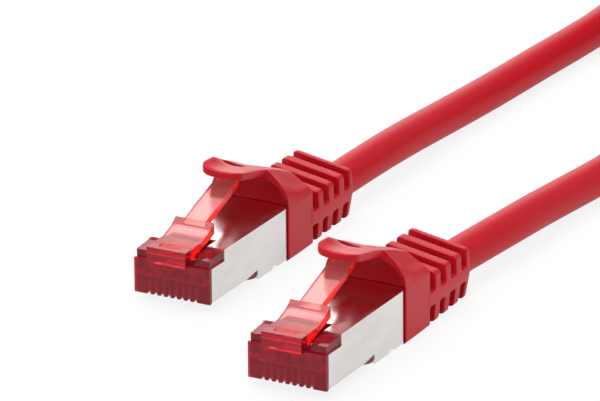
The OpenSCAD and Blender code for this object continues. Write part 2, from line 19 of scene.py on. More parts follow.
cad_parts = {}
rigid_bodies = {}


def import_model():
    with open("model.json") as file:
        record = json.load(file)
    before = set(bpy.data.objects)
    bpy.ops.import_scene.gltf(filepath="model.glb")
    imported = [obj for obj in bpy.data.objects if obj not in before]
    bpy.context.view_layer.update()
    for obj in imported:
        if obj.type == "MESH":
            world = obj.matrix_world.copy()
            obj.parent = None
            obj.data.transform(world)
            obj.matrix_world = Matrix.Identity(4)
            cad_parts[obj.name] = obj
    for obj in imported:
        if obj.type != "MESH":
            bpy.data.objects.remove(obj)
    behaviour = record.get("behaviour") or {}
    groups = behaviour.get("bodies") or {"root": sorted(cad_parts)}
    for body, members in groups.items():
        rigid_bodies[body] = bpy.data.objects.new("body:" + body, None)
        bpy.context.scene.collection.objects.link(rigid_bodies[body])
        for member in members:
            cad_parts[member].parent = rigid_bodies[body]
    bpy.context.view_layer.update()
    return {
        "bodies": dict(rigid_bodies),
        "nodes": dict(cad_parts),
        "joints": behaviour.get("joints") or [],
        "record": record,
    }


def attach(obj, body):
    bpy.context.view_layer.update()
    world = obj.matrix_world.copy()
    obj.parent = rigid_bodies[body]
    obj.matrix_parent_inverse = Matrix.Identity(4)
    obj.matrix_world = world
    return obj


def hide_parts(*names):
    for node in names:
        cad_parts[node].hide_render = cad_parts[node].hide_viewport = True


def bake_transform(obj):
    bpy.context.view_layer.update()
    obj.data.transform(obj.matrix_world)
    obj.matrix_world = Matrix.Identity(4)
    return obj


LOG = logging.getLogger("patch_cable")
MM = 0.001
NOSE_HEIGHT = 4.95
FIXED_BODY = "cable"


class End(Enum):
    """The two ends of the cable, by the letter that their nodes carry."""

    A = "a"
    B = "b"


# ---------------------------------------------------------------- frame and camera


@dataclass(frozen=True)
class PlugFrame:
    """Where one plug's own frame lies in the row frame."""

    end: End
    origin: Vector

    @classmethod
    def of(cls, end: End, record: dict) -> "PlugFrame":
        """Reads the plug's place from its mount.

        Args:
            end: which plug.
            record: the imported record.

        Returns:
            The plug's frame, with its origin in metres.
        """
        mount = next(m for m in record["mounts"] if m["name"] == f"plug_{end.value}")
        nose_middle = Vector(mount["pos_m"])
        return cls(end, nose_middle - Vector((0, 0, NOSE_HEIGHT / 2 * MM)))

    def at(self, x: float, y: float, z: float) -> Vector:
        """Returns the row-frame point of a plug-frame point given in millimetres."""
        return self.origin + Vector((x, y, z)) * MM


@dataclass(frozen=True)
class Shot:
    """The studio camera, a long lens that looks down on the first plug from its front right."""

    azimuth: float = 28.46
    elevation: float = 20.52
    roll: float = -0.524
    distance: float = 871.8
    across: float = 17.14
    above: float = 13.11
    lens: float = 390.0
    sensor: float = 36.0

    def build(self, target: Vector) -> bpy.types.Object:
        """Makes the camera.

        Args:
            target: the point from which the distances are counted, in metres.

        Returns:
            The camera object.
        """
        a, e, t = (math.radians(v) for v in (self.azimuth, self.elevation, self.roll))
        back = Vector((math.sin(a) * math.cos(e), -math.cos(a) * math.cos(e), math.sin(e)))
        level = Vector((math.cos(a), math.sin(a), 0))
        upright = back.cross(level)
        right = level * math.cos(t) + upright * math.sin(t)
        up = upright * math.cos(t) - level * math.sin(t)
        place = target + (back * self.distance + right * self.across + up * self.above) * MM
        data = bpy.data.cameras.new("studio_camera")
        data.lens = self.lens
        data.sensor_width = self.sensor
        data.clip_start = 0.05
        data.clip_end = 20
        camera = bpy.data.objects.new("studio_camera", data)
        turn = Matrix((right, up, back)).transposed().to_4x4()
        camera.matrix_world = Matrix.Translation(place) @ turn
        bpy.context.scene.collection.objects.link(camera)
        bpy.context.scene.camera = camera
        return camera


# ---------------------------------------------------------------- shader nodes

Triple = tuple[float, float, float]
Colour = Triple
Span = tuple[float, float]


def socket(group: bpy.types.NodeTree, name: str, way: str, kind: str, value=None) -> None:
    """Adds one named socket to a node group.

    Args:
        group: the group.
        name: the socket's name.
        way: INPUT or OUTPUT.
        kind: Float, Color or Vector.
        value: the default value of an input.
    """
    made = group.interface.new_socket(name=name, in_out=way, socket_type=f"NodeSocket{kind}")
    if value is not None:
        made.default_value = value


def set_values(node: bpy.types.Node, **values: float | tuple[float, ...]) -> None:
    """Sets constants on a node's inputs.

    Args:
        node: the node.
        values: the constants by the input's name, with underscores for spaces.
    """
    for name, value in values.items():
        node.inputs[name.replace("_", " ")].default_value = value


def calculate(
    tree: bpy.types.NodeTree, operation: str, *values: bpy.types.NodeSocket
) -> bpy.types.NodeSocket:
    """Adds a Math node.

    Args:
        tree: the tree that gets the node.
        operation: what the node does.
        values: the outputs that it works on.

    Returns:
        The result's output.
    """
    node = tree.nodes.new("ShaderNodeMath")
    node.operation = operation
    for place, value in zip(node.inputs, values):
        tree.links.new(value, place)
    return node.outputs["Value"]


def remap(
    tree: bpy.types.NodeTree,
    value: bpy.types.NodeSocket,
    span: Span = (0.0, 1.0),
    levels: Span = (0.0, 1.0),
) -> bpy.types.Node:
    """Adds a Map Range node, which holds its result between two levels.

    Args:
        tree: the tree that gets the node.
        value: the output to turn into a level.
        span: the values that give the first and the second level.
        levels: the two levels.

    Returns:
        The node.
    """
    node = tree.nodes.new("ShaderNodeMapRange")
    set_values(node, From_Min=span[0], From_Max=span[1], To_Min=levels[0], To_Max=levels[1])
    tree.links.new(value, node.inputs["Value"])
    return node


def mix_colours(
    tree: bpy.types.NodeTree, mask: bpy.types.NodeSocket, low: Colour, high: Colour
) -> bpy.types.Node:
    """Adds a node that mixes two colours.

    Args:
        tree: the tree that gets the node.
        mask: the mask's output, 0 to 1.
        low: the colour where the mask is 0.
        high: the colour where the mask is 1.

    Returns:
        The node.
    """
    node = tree.nodes.new("ShaderNodeMix")
    node.data_type = "RGBA"
    set_values(node, A=(*low, 1), B=(*high, 1))
    tree.links.new(mask, node.inputs["Factor"])
    return node


class ShaderGroup:
    """A node group that is built once and placed in every material that uses it."""

    NAME = ""

    @classmethod
    def group(cls) -> bpy.types.NodeTree:
        """Gives the node group, which is made once.

        Returns:
            The group's tree.
        """
        known = bpy.data.node_groups.get(cls.NAME)
        if known:
            return known
        tree = bpy.data.node_groups.new(cls.NAME, "ShaderNodeTree")
        cls.fill(tree)
        return tree

    @classmethod
    def fill(cls, tree: bpy.types.NodeTree) -> None:
        """Fills the new group, in a way that each kind of group has of its own."""
        raise NotImplementedError


class MouldGrain(ShaderGroup):
    """The fine grain of a surface: a height, and a broad mottle."""

    NAME = "mould_grain"

    @classmethod
    def fill(cls, tree: bpy.types.NodeTree) -> None:
        """Makes a fine noise for the height and a broad one for the mottle.

        Args:
            tree: the new group.
        """
        layers = (("Grain Size", 4000.0, 3.0, "Height"), ("Mottle Size", 300.0, 2.0, "Mottle"))
        for size, scale, _, result in layers:
            socket(tree, size, "INPUT", "Float", scale)
            socket(tree, result, "OUTPUT", "Float")
        inlet = tree.nodes.new("NodeGroupInput")
        outlet = tree.nodes.new("NodeGroupOutput")
        place = tree.nodes.new("ShaderNodeTexCoord")
        for size, _, detail, result in layers:
            noise = tree.nodes.new("ShaderNodeTexNoise")
            set_values(noise, Detail=detail)
            tree.links.new(place.outputs["Object"], noise.inputs["Vector"])
            tree.links.new(inlet.outputs[size], noise.inputs["Scale"])
            tree.links.new(noise.outputs["Fac"], outlet.inputs[result])


class HandlingMarks(ShaderGroup):
    """Faint smears and rubbed streaks on a smooth surface, as a mask."""

    NAME = "handling_marks"
    CLEAN_TO_MARKED: Span = (0.35, 0.7)

    @classmethod
    def fill(cls, tree: bpy.types.NodeTree) -> None:
        """Draws a noise out along the plug.

        Args:
            tree: the new group.
        """
        socket(tree, "Size", "INPUT", "Float", 250.0)
        socket(tree, "Stretch", "INPUT", "Float", 0.25)
        socket(tree, "Marks", "OUTPUT", "Float")
        nodes, links = tree.nodes, tree.links
        inlet = nodes.new("NodeGroupInput")
        outlet = nodes.new("NodeGroupOutput")
        place = nodes.new("ShaderNodeTexCoord")
        squeeze = nodes.new("ShaderNodeCombineXYZ")
        set_values(squeeze, X=1.0, Z=1.0)
        links.new(inlet.outputs["Stretch"], squeeze.inputs["Y"])
        drawn = nodes.new("ShaderNodeVectorMath")
        drawn.operation = "MULTIPLY"
        links.new(place.outputs["Object"], drawn.inputs[0])
        links.new(squeeze.outputs["Vector"], drawn.inputs[1])
        noise = nodes.new("ShaderNodeTexNoise")
        set_values(noise, Detail=5.0)
        links.new(drawn.outputs["Vector"], noise.inputs["Vector"])
        links.new(inlet.outputs["Size"], noise.inputs["Scale"])
        spread = remap(tree, noise.outputs["Fac"], cls.CLEAN_TO_MARKED)
        links.new(spread.outputs["Result"], outlet.inputs["Marks"])


class PaintedSideGlow(ShaderGroup):
    """Masks of a clear moulding: the faces that look sideways, which are painted a deeper colour as painted
    shading, and its root.
    """

    NAME = "painted_side_glow"
    FULL_SIDE = 0.85
    ROOT_STRENGTH = 1.6

    @classmethod
    def fill(cls, tree: bpy.types.NodeTree) -> None:
        """Makes one mask from the faces' way and one from their place along the piece.

        Args:
            tree: the new group.
        """
        for name, value in (("Edge", 0.55), ("Root End", 0.25)):
            socket(tree, name, "INPUT", "Float", value)
        for name in ("Side", "Root"):
            socket(tree, name, "OUTPUT", "Float")
        nodes, links = tree.nodes, tree.links
        inlet = nodes.new("NodeGroupInput")
        outlet = nodes.new("NodeGroupOutput")
        place = nodes.new("ShaderNodeTexCoord")
        # Painted shading: faces that look sideways are picked by their normal, to be painted a deeper colour
        facing = nodes.new("ShaderNodeSeparateXYZ")
        links.new(place.outputs["Normal"], facing.inputs["Vector"])
        side = remap(tree, calculate(tree, "ABSOLUTE", facing.outputs["X"]), (0.0, cls.FULL_SIDE))
        links.new(inlet.outputs["Edge"], side.inputs["From Min"])
        along = nodes.new("ShaderNodeSeparateXYZ")
        links.new(place.outputs["Generated"], along.inputs["Vector"])
        root = remap(tree, along.outputs["Y"], levels=(cls.ROOT_STRENGTH, 0.0))
        links.new(inlet.outputs["Root End"], root.inputs["From Max"])
        for name, mask in (("Side", side), ("Root", root)):
            links.new(mask.outputs["Result"], outlet.inputs[name])


# ---------------------------------------------------------------- finishes


def new_material(name: str) -> tuple[bpy.types.Material, bpy.types.Node]:
    """Starts a material.

    Args:
        name: the material's name.

    Returns:
        The material and its Principled shader.
    """
    material = bpy.data.materials.new(name)
    material.use_nodes = True
    return material, material.node_tree.nodes["Principled BSDF"]


def add_group(material: bpy.types.Material, tree: bpy.types.NodeTree, **values: float) -> bpy.types.Node:
    """Places a node group in a material.

    Args:
        material: the material.
        tree: the group's tree.
        values: its inputs, with underscores for spaces.

    Returns:
        The group node.
    """
    node = material.node_tree.nodes.new("ShaderNodeGroup")
    node.node_tree = tree
    set_values(node, **values)
    return node


def ramp_between(
    material: bpy.types.Material, mask: bpy.types.NodeSocket, levels: Span, target: bpy.types.NodeSocket
) -> None:
    """Feeds a socket with a value that a mask moves between two levels.

    Args:
        material: the material.
        mask: the mask's output, 0 to 1.
        levels: the values where the mask is 0 and where it is 1.
        target: the socket to feed.
    """
    span = remap(material.node_tree, mask, levels=levels)
    material.node_tree.links.new(span.outputs["Result"], target)


def tint_between(
    material: bpy.types.Material,
    mask: bpy.types.NodeSocket,
    low: Colour,
    high: Colour,
    shader: bpy.types.Node,
) -> None:
    """Colours a shader with two colours that a mask mixes.

    Args:
        material: the material.
        mask: the mask's output, 0 to 1.
        low: the colour where the mask is 0.
        high: the colour where the mask is 1.
        shader: the Principled shader.
    """
    tint = mix_colours(material.node_tree, mask, low, high)
    material.node_tree.links.new(tint.outputs["Result"], shader.inputs["Base Color"])


def add_bump(
    material: bpy.types.Material, height: bpy.types.NodeSocket, depth: float, shader: bpy.types.Node
) -> bpy.types.Node:
    """Adds a bump to a shader's normal.

    Args:
        material: the material.
        height: the height output.
        depth: the bump's depth in metres.
        shader: the Principled shader.

    Returns:
        The bump's node.
    """
    bump = material.node_tree.nodes.new("ShaderNodeBump")
    set_values(bump, Strength=1.0, Distance=depth)
    material.node_tree.links.new(height, bump.inputs["Height"])
    material.node_tree.links.new(bump.outputs["Normal"], shader.inputs["Normal"])
    return bump


@dataclass(frozen=True)
class SoftPlastic:
    """Soft satin PVC with a fine mould grain and a slight mottle."""

    name: str
    colour: Colour
    deep: Colour
    roughness: Span
    grain: float = 0.000012
    grain_size: float = 5000.0
    mottle_size: float = 260.0
    inner_glow: float = 0.06
    glow_reach: Triple = (1.0, 0.25, 0.2)
    glow_depth: float = 0.0006
    ior: float = 1.46
    sheen: float = 0.5
    sheen_colour: Colour = (1.0, 0.2, 0.3)

    def build(self) -> bpy.types.Material:
        """Builds the material.

        Returns:
            The finished material.
        """
        material, shader = new_material(self.name)
        grain = add_group(
            material, MouldGrain.group(), Grain_Size=self.grain_size, Mottle_Size=self.mottle_size
        )
        tint_between(material, grain.outputs["Mottle"], self.deep, self.colour, shader)
        ramp_between(material, grain.outputs["Mottle"], self.roughness, shader.inputs["Roughness"])
        set_values(
            shader, Subsurface_Weight=self.inner_glow, Subsurface_Radius=self.glow_reach,
            Subsurface_Scale=self.glow_depth, IOR=self.ior, Specular_IOR_Level=self.sheen,
            Specular_Tint=(*self.sheen_colour, 1),
        )
        add_bump(material, grain.outputs["Height"], self.grain, shader)
        return material


@dataclass(frozen=True)
class ClearPlastic:
    """Tinted polycarbonate with painted light: a deeper colour painted on its narrow side faces, and a faint
    painted glow of its own colour, though it is no lamp.
    """

    name: str
    face: Colour
    side: Colour
    root: Colour
    tint: Colour
    density: float
    clearness: float
    painted_glow: float
    roughness: Span = (0.06, 0.14)
    side_edge: float = 0.55
    root_end: float = 0.25
    ior: float = 1.58
    sheen_colour: Colour = (1.0, 0.45, 0.5)

    def build(self) -> bpy.types.Material:
        """Builds the material.

        Returns:
            The finished material.
        """
        material, shader = new_material(self.name)
        tree = material.node_tree
        masks = add_group(material, PaintedSideGlow.group(), Edge=self.side_edge, Root_End=self.root_end)
        body = mix_colours(tree, masks.outputs["Root"], self.face, self.root)
        # Painted shading: the sideways faces take the deeper side colour
        tint = mix_colours(tree, masks.outputs["Side"], self.face, self.side)
        tree.links.new(body.outputs["Result"], tint.inputs["A"])
        # Painted glow: the same colour is emitted, so the plastic glows though it is no lamp
        for target in ("Base Color", "Emission Color"):
            tree.links.new(tint.outputs["Result"], shader.inputs[target])
        set_values(
            shader, Emission_Strength=self.painted_glow, Transmission_Weight=self.clearness, IOR=self.ior,
            Specular_Tint=(*self.sheen_colour, 1),
        )
        marks = add_group(material, HandlingMarks.group(), Size=420.0, Stretch=0.5)
        ramp_between(material, marks.outputs["Marks"], self.roughness, shader.inputs["Roughness"])
        depth = tree.nodes.new("ShaderNodeVolumeAbsorption")
        set_values(depth, Color=(*self.tint, 1), Density=self.density)
        tree.links.new(depth.outputs["Volume"], tree.nodes["Material Output"].inputs["Volume"])
        return material


@dataclass(frozen=True)
class PlatedMetal:
    """Bright plated sheet with faint rubbed streaks, whose shine may lean sideways and back."""

    name: str
    colour: Colour
    worn: Colour
    roughness: Span = (0.12, 0.24)
    grain: float = 0.000002
    lean: Span = (0.0, 0.0)

    def build(self) -> bpy.types.Material:
        """Builds the material.

        Returns:
            The finished material.
        """
        material, shader = new_material(self.name)
        set_values(shader, Metallic=1.0)
        marks = add_group(material, HandlingMarks.group(), Size=380.0, Stretch=0.35)
        tint_between(material, marks.outputs["Marks"], self.colour, self.worn, shader)
        ramp_between(material, marks.outputs["Marks"], self.roughness, shader.inputs["Roughness"])
        grain = add_group(material, MouldGrain.group(), Grain_Size=2500.0, Mottle_Size=400.0)
        fine = add_bump(material, grain.outputs["Height"], self.grain, shader)
        if any(self.lean):
            self.lean_shine(material.node_tree, fine)
        return material

    def lean_shine(self, tree: bpy.types.NodeTree, fine: bpy.types.Node) -> None:
        """Leans the folded sheet's shine a little to one side and back, as folding leaves it.

        Args:
            tree: the material's tree.
            fine: the fine bump, which stays on top.
        """
        place = tree.nodes.new("ShaderNodeTexCoord")
        slope = tree.nodes.new("ShaderNodeVectorMath")
        slope.operation = "DOT_PRODUCT"
        slope.inputs[1].default_value = (self.lean[0] / MM, self.lean[1] / MM, 0.0)
        tree.links.new(place.outputs["Generated"], slope.inputs[0])
        bend = tree.nodes.new("ShaderNodeBump")
        bend.invert = True
        set_values(bend, Strength=1.0, Distance=MM)
        tree.links.new(slope.outputs["Value"], bend.inputs["Height"])
        tree.links.new(bend.outputs["Normal"], fine.inputs["Normal"])


@dataclass(frozen=True)
class Insulation:
    """A wire's plain or striped insulation."""

    name: str
    colour: Colour
    stripe: Colour
    stripe_size: float = 90.0
    stripe_edge: Span = (0.78, 0.82)
    roughness: Span = (0.35, 0.45)
    grain: float = 0.000004

    def build(self) -> bpy.types.Material:
        """Builds the material.

        Returns:
            The finished material.
        """
        material, shader = new_material(self.name)
        tree = material.node_tree
        wave = tree.nodes.new("ShaderNodeTexWave")
        wave.bands_direction = "DIAGONAL"
        set_values(wave, Scale=self.stripe_size)
        place = tree.nodes.new("ShaderNodeTexCoord")
        tree.links.new(place.outputs["Object"], wave.inputs["Vector"])
        edge = remap(tree, wave.outputs["Fac"], self.stripe_edge)
        tint_between(material, edge.outputs["Result"], self.colour, self.stripe, shader)
        grain = add_group(material, MouldGrain.group(), Grain_Size=6000.0, Mottle_Size=500.0)
        ramp_between(material, grain.outputs["Mottle"], self.roughness, shader.inputs["Roughness"])
        add_bump(material, grain.outputs["Height"], self.grain, shader)
        return material


@dataclass(frozen=True)
class BraidWeave:
    """Tinned wires braided both ways round the jacket."""

    name: str
    colour: Colour
    strand_size: float = 1100.0
    roughness: Span = (0.45, 0.25)
    relief: float = 0.00005

    def build(self) -> bpy.types.Material:
        """Builds the material.

        Returns:
            The finished material.
        """
        material, shader = new_material(self.name)
        tree = material.node_tree
        place = tree.nodes.new("ShaderNodeTexCoord")
        strands = []
        for direction in ("X", "Z"):
            wave = tree.nodes.new("ShaderNodeTexWave")
            wave.bands_direction = direction
            set_values(wave, Scale=self.strand_size)
            tree.links.new(place.outputs["Object"], wave.inputs["Vector"])
            strands.append(wave.outputs["Fac"])
        crossed = calculate(tree, "MAXIMUM", *strands)
        set_values(shader, Base_Color=(*self.colour, 1), Metallic=1.0)
        ramp_between(material, crossed, self.roughness, shader.inputs["Roughness"])
        add_bump(material, crossed, self.relief, shader)
        return material


@dataclass(frozen=True)
class LoopFabric:
    """Ribbed hook-and-loop tape with a fuzzy face."""

    name: str
    colour: Colour
    worn: Colour
    roughness: Span = (0.75, 0.95)
    fuzz: float = 0.4
    relief: float = 0.00012

    def build(self) -> bpy.types.Material:
        """Builds the material.

        Returns:
            The finished material.
        """
        material, shader = new_material(self.name)
        loops = add_group(material, MouldGrain.group(), Grain_Size=3500.0, Mottle_Size=600.0)
        tint_between(material, loops.outputs["Mottle"], self.colour, self.worn, shader)
        ramp_between(material, loops.outputs["Mottle"], self.roughness, shader.inputs["Roughness"])
        set_values(shader, Sheen_Weight=self.fuzz)
        add_bump(material, loops.outputs["Height"], self.relief, shader)
        return material


RED_PVC = SoftPlastic(
    "red_pvc", colour=(0.55, 0.011, 0.02), deep=(0.49, 0.009, 0.016), roughness=(0.29, 0.41)
)
RED_JACKET = SoftPlastic(
    "red_jacket", colour=(0.54, 0.011, 0.02), deep=(0.49, 0.009, 0.017), roughness=(0.35, 0.47),
    grain=0.000006, sheen=0.22,
)
# The clear plastics' side colours are painted shading, and their emission is a painted glow
CLEAR_HOUSING = ClearPlastic(
    "clear_red_housing", face=(0.8, 0.055, 0.1), side=(0.55, 0.02, 0.05), root=(0.8, 0.055, 0.1),
    tint=(0.93, 0.03, 0.08), density=200.0, clearness=0.88, painted_glow=0.02, roughness=(0.03, 0.11),
)
CLEAR_LATCH = ClearPlastic(
    "clear_red_latch", face=(0.94, 0.38, 0.36), side=(0.9, 0.03, 0.02), root=(0.95, 0.1, 0.08),
    tint=(0.97, 0.04, 0.06), density=300.0, clearness=0.9, painted_glow=0.05,
)
NICKEL = PlatedMetal(
    "nickel_plate", colour=(0.92, 0.89, 0.87), worn=(0.86, 0.82, 0.80), lean=(0.0009, 0.0009)
)
GOLD = PlatedMetal("gold_plate", colour=(0.83, 0.58, 0.22), worn=(0.76, 0.52, 0.2), roughness=(0.18, 0.3))
BRAID = BraidWeave("tinned_braid", colour=(0.7, 0.69, 0.67))
STRAP = LoopFabric("tie_strap", colour=(0.03, 0.03, 0.032), worn=(0.055, 0.055, 0.06))

WHITE_INSULATION: Colour = (0.82, 0.80, 0.76)
PAIR_COLOURS: dict[str, Colour] = {
    "orange": (0.85, 0.25, 0.02),
    "green": (0.03, 0.33, 0.07),
    "blue": (0.02, 0.09, 0.42),
    "brown": (0.16, 0.07, 0.03),
}
WIRE_ORDER = (
    ("orange", True), ("orange", False), ("green", True), ("blue", False),
    ("blue", True), ("green", False), ("brown", True), ("brown", False),
)


# ---------------------------------------------------------------- mesh helpers


def eased(share: float) -> float:
    """Returns a smooth step from 0 to 1 for a share that is held between them."""
    held = min(1.0, max(0.0, share))
    return held * held * (3 - 2 * held)


def spline(knots: Sequence[tuple[float, ...]], steps: int) -> list[tuple[float, ...]]:
    """Draws a smooth line through knots (Catmull-Rom).

    Args:
        knots: the points, of any one dimension.
        steps: points made per stretch.

    Returns:
        The line's points, with the last knot.
    """
    made = []
    last = len(knots) - 1
    for i in range(last):
        p0, p1 = knots[max(i - 1, 0)], knots[i]
        p2, p3 = knots[i + 1], knots[min(i + 2, last)]
        for s in range(steps):
            t = s / steps
            made.append(
                tuple(
                    0.5 * (2 * b + (c - a) * t + (2 * a - 5 * b + 4 * c - d) * t * t
                           + (3 * b - a - 3 * c + d) * t ** 3)
                    for a, b, c, d in zip(p0, p1, p2, p3)
                )
            )
    made.append(tuple(knots[last]))
    return made


def rounded(corners: list[tuple[float, float]], radius: float, steps: int = 5) -> list[tuple[float, float]]:
    """Rounds the corners of a closed outline.

    Args:
        corners: the outline's corners.
        radius: how far from a corner its rounding starts.
        steps: points made per corner, less one.

    Returns:
        The rounded outline.
    """
    made = []
    count = len(corners)
    for i, corner in enumerate(corners):
        here = Vector(corner)
        before = Vector(corners[i - 1]) - here
        after = Vector(corners[(i + 1) % count]) - here
        start = here + before.normalized() * min(radius, before.length / 2)
        stop = here + after.normalized() * min(radius, after.length / 2)
        for s in range(steps + 1):
            t = s / steps
            point = start * (1 - t) ** 2 + here * 2 * t * (1 - t) + stop * t * t
            made.append((point.x, point.y))
    return made


def loft(name: str, rings: list[list[Triple]]) -> bpy.types.Object:
    """Skins a closed solid over rings of equally many points.

    Args:
        name: the object's name.
        rings: closed rings, in order, in millimetres.

    Returns:
        The object, in millimetres.
    """
    mesh = bmesh.new()
    rows = [[mesh.verts.new(p) for p in ring] for ring in rings]
    count = len(rings[0])
    for low, high in zip(rows, rows[1:]):
        for i in range(count):
            j = (i + 1) % count
            mesh.faces.new((low[i], low[j], high[j], high[i]))
    mesh.faces.new(rows[0][::-1])
    mesh.faces.new(rows[-1])
    bmesh.ops.recalc_face_normals(mesh, faces=mesh.faces)
    return finish_mesh(name, mesh)


def finish_mesh(name: str, mesh: bmesh.types.BMesh) -> bpy.types.Object:
    """Turns a bmesh into a linked object.

    Args:
        name: the object's name.
        mesh: the bmesh, which is freed.

    Returns:
        The object.
    """
    data = bpy.data.meshes.new(name)
    mesh.to_mesh(data)
    mesh.free()
    made = bpy.data.objects.new(name, data)
    bpy.context.scene.collection.objects.link(made)
    return made


def block(name: str, low: Triple, high: Triple) -> bpy.types.Object:
    """Makes a rectangular solid.

    Args:
        name: the object's name.
        low: its lowest corner.
        high: its highest corner.

    Returns:
        The object, in millimetres.
    """
    (x0, y0, z0), (x1, y1, z1) = low, high
    ring = [(x0, z0), (x1, z0), (x1, z1), (x0, z1)]
    return loft(name, [[(x, y, z) for x, z in ring] for y in (y0, y1)])


def rod(name: str, start: Vector, stop: Vector, radius: float, sides: int = 48) -> bpy.types.Object:
    """Makes a round bar.

    Args:
        name: the object's name.
        start: the middle of its first end.
        stop: the middle of its other end.
        radius: its radius.
        sides: how many sides its round has.

    Returns:
        The object, in millimetres.
    """
    line = stop - start
    turn = line.to_track_quat("Z", "Y").to_matrix()
    rings = []
    for centre in (start, stop):
        circle = [
            turn @ Vector((radius * math.cos(a), radius * math.sin(a), 0)) + centre
            for a in (2 * math.pi * k / sides for k in range(sides))
        ]
        rings.append([tuple(p) for p in circle])
    return loft(name, rings)


def settle(piece: bpy.types.Object) -> None:
    """Applies a piece's modifiers to its mesh.

    Args:
        piece: the object.
    """
    view = bpy.context.evaluated_depsgraph_get()
    mesh = bpy.data.meshes.new_from_object(piece.evaluated_get(view))
    piece.modifiers.clear()
    old = piece.data
    piece.data = mesh
    bpy.data.meshes.remove(old)


def discard(piece: bpy.types.Object) -> None:
    """Removes a helper object and its mesh.

    Args:
        piece: the object.
    """
    data = piece.data
    bpy.data.objects.remove(piece)
    bpy.data.meshes.remove(data)


def cut(piece: bpy.types.Object, cutters: list[bpy.types.Object], operation: str = "DIFFERENCE") -> None:
    """Cuts a piece with solids, which are used up.

    Args:
        piece: the solid to change.
        cutters: the solids taken away, joined or kept in common.
        operation: DIFFERENCE, UNION or INTERSECT.
    """
    for cutter in cutters:
        modifier = piece.modifiers.new("cut", "BOOLEAN")
        modifier.operation = operation
        modifier.solver = "MANIFOLD"
        modifier.object = cutter
    settle(piece)
    for cutter in cutters:
        discard(cutter)


def melt(piece: bpy.types.Object, others: list[bpy.types.Object], voxel: float, smooth: int) -> None:
    """Joins overlapping solids into one skin with softened edges.

    Args:
        piece: the solid that keeps its name.
        others: the solids joined to it, which are used up.
        voxel: the size of the skin's facets, in millimetres.
        smooth: how many times the skin is smoothed.
    """
    mesh = bmesh.new()
    for solid in (piece, *others):
        mesh.from_mesh(solid.data)
    mesh.to_mesh(piece.data)
    mesh.free()
    for other in others:
        discard(other)
    skin = piece.modifiers.new("skin", "REMESH")
    skin.mode = "VOXEL"
    skin.voxel_size = voxel
    ease = piece.modifiers.new("ease", "SMOOTH")
    ease.factor = 0.5
    ease.iterations = smooth
    settle(piece)


def shade_smooth(piece: bpy.types.Object, crease: float = math.radians(40)) -> None:
    """Shades a mesh smoothly, apart from edges sharper than a given turn."""
    piece.data.shade_smooth()
    piece.data.set_sharp_from_angle(angle=crease)


# ---------------------------------------------------------------- cord


